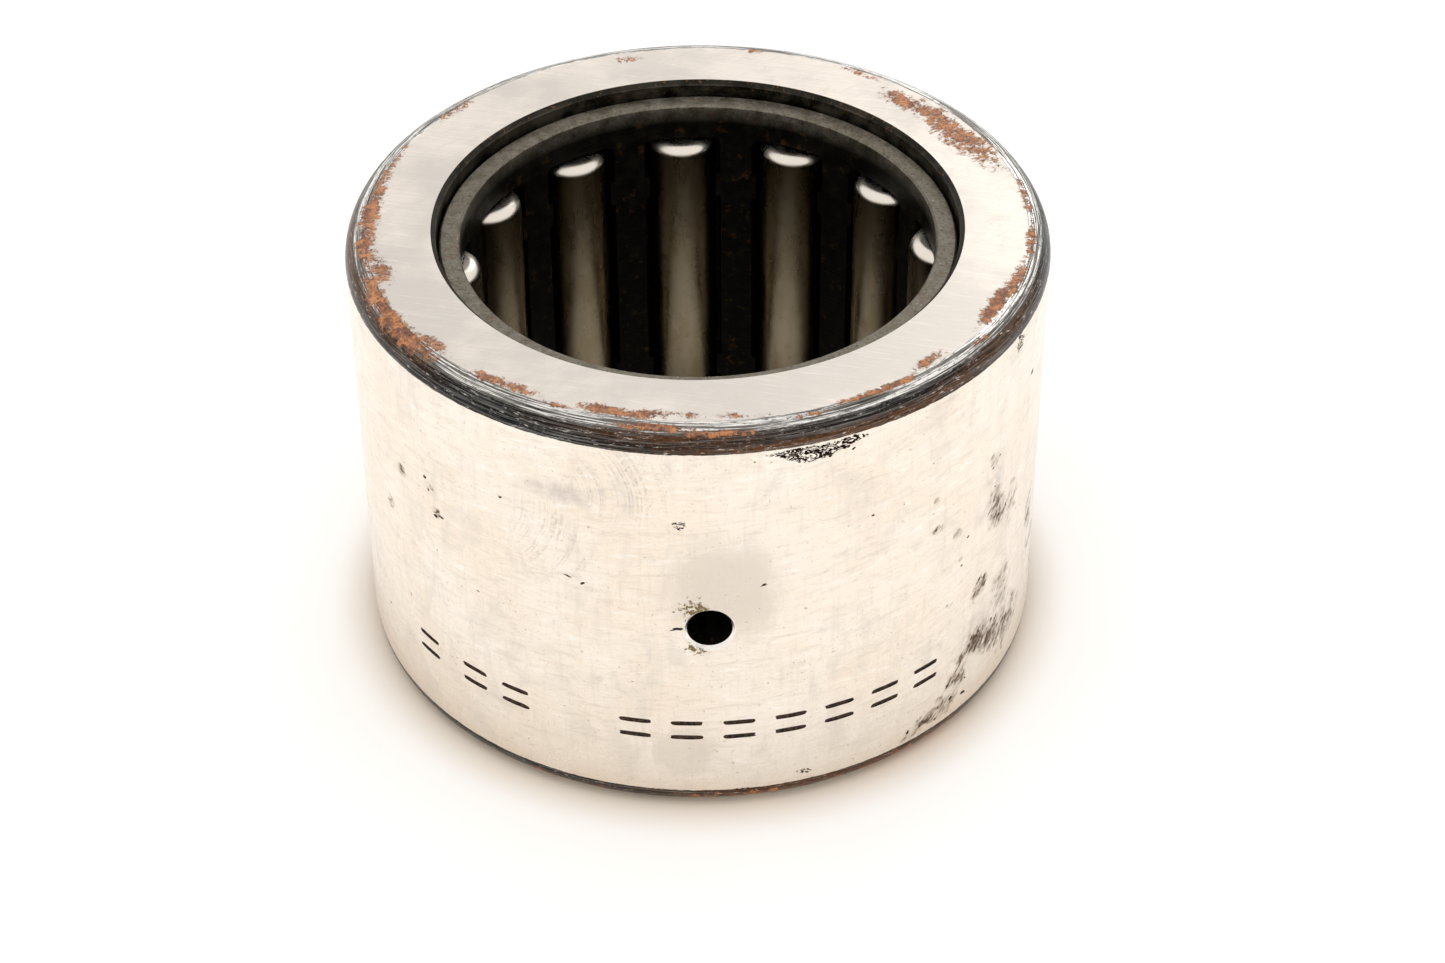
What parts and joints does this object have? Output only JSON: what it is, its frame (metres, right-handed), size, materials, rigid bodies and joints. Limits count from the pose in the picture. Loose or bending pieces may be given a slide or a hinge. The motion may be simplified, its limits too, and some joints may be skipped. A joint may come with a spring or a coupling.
{
  "type": "needle roller bearing",
  "caption": "Heavy-duty needle roller bearing: ribbed one-piece steel outer ring with a radial oil hole, pierced cage and cylindrical rollers that run directly on a shaft.",
  "frame": {"origin": "centre of the bottom face, on the bearing axis", "axes": "+Z along the bearing axis, -Y through the oil hole in the outer ring"},
  "size_m": [0.0382, 0.0381, 0.0254],
  "materials": {
    "ring_steel": "ground and worn, with rust freckles along the face edges",
    "cage_steel": "dark oiled steel, dull",
    "roller_steel": "ground and lapped bearing steel under an oil film"
  },
  "bodies": {
    "outer_ring": {"outer_ring": "ring_steel"},
    "cage": {"cage": "cage_steel"},
    "roller_01": {"roller_01": "roller_steel"},
    "roller_02": {"roller_02": "roller_steel"},
    "roller_03": {"roller_03": "roller_steel"},
    "roller_04": {"roller_04": "roller_steel"},
    "roller_05": {"roller_05": "roller_steel"},
    "roller_06": {"roller_06": "roller_steel"},
    "roller_07": {"roller_07": "roller_steel"},
    "roller_08": {"roller_08": "roller_steel"},
    "roller_09": {"roller_09": "roller_steel"},
    "roller_10": {"roller_10": "roller_steel"},
    "roller_11": {"roller_11": "roller_steel"},
    "roller_12": {"roller_12": "roller_steel"},
    "roller_13": {"roller_13": "roller_steel"}
  },
  "joints": [
    {"name": "cage_spin", "type": "hinge", "parent": "outer_ring", "child": "cage", "pos_m": [0, 0, 0.0127], "axis": [0, 0, 1], "continuous": true},
    {"name": "roller_01_spin", "type": "hinge", "parent": "cage", "child": "roller_01", "pos_m": [-0.00063, 0.01388, 0.0127], "axis": [0, 0, 1], "continuous": true},
    {"name": "roller_02_spin", "type": "hinge", "parent": "cage", "child": "roller_02", "pos_m": [-0.00701, 0.01199, 0.0127], "axis": [0, 0, 1], "continuous": true},
    {"name": "roller_03_spin", "type": "hinge", "parent": "cage", "child": "roller_03", "pos_m": [-0.01178, 0.00736, 0.0127], "axis": [0, 0, 1], "continuous": true},
    {"name": "roller_04_spin", "type": "hinge", "parent": "cage", "child": "roller_04", "pos_m": [-0.01385, 0.00105, 0.0127], "axis": [0, 0, 1], "continuous": true},
    {"name": "roller_05_spin", "type": "hinge", "parent": "cage", "child": "roller_05", "pos_m": [-0.01275, -0.00551, 0.0127], "axis": [0, 0, 1], "continuous": true},
    {"name": "roller_06_spin", "type": "hinge", "parent": "cage", "child": "roller_06", "pos_m": [-0.00873, -0.0108, 0.0127], "axis": [0, 0, 1], "continuous": true},
    {"name": "roller_07_spin", "type": "hinge", "parent": "cage", "child": "roller_07", "pos_m": [-0.00271, -0.01362, 0.0127], "axis": [0, 0, 1], "continuous": true},
    {"name": "roller_08_spin", "type": "hinge", "parent": "cage", "child": "roller_08", "pos_m": [0.00393, -0.01332, 0.0127], "axis": [0, 0, 1], "continuous": true},
    {"name": "roller_09_spin", "type": "hinge", "parent": "cage", "child": "roller_09", "pos_m": [0.00967, -0.00997, 0.0127], "axis": [0, 0, 1], "continuous": true},
    {"name": "roller_10_spin", "type": "hinge", "parent": "cage", "child": "roller_10", "pos_m": [0.0132, -0.00433, 0.0127], "axis": [0, 0, 1], "continuous": true},
    {"name": "roller_11_spin", "type": "hinge", "parent": "cage", "child": "roller_11", "pos_m": [0.0137, 0.0023, 0.0127], "axis": [0, 0, 1], "continuous": true},
    {"name": "roller_12_spin", "type": "hinge", "parent": "cage", "child": "roller_12", "pos_m": [0.01106, 0.0084, 0.0127], "axis": [0, 0, 1], "continuous": true},
    {"name": "roller_13_spin", "type": "hinge", "parent": "cage", "child": "roller_13", "pos_m": [0.00589, 0.01258, 0.0127], "axis": [0, 0, 1], "continuous": true}
  ],
  "couplings": [
    {"joint": "roller_01_spin", "follows": "cage_spin", "ratio": -8},
    {"joint": "roller_02_spin", "follows": "cage_spin", "ratio": -8},
    {"joint": "roller_03_spin", "follows": "cage_spin", "ratio": -8},
    {"joint": "roller_04_spin", "follows": "cage_spin", "ratio": -8},
    {"joint": "roller_05_spin", "follows": "cage_spin", "ratio": -8},
    {"joint": "roller_06_spin", "follows": "cage_spin", "ratio": -8},
    {"joint": "roller_07_spin", "follows": "cage_spin", "ratio": -8},
    {"joint": "roller_08_spin", "follows": "cage_spin", "ratio": -8},
    {"joint": "roller_09_spin", "follows": "cage_spin", "ratio": -8},
    {"joint": "roller_10_spin", "follows": "cage_spin", "ratio": -8},
    {"joint": "roller_11_spin", "follows": "cage_spin", "ratio": -8},
    {"joint": "roller_12_spin", "follows": "cage_spin", "ratio": -8},
    {"joint": "roller_13_spin", "follows": "cage_spin", "ratio": -8}
  ]
}
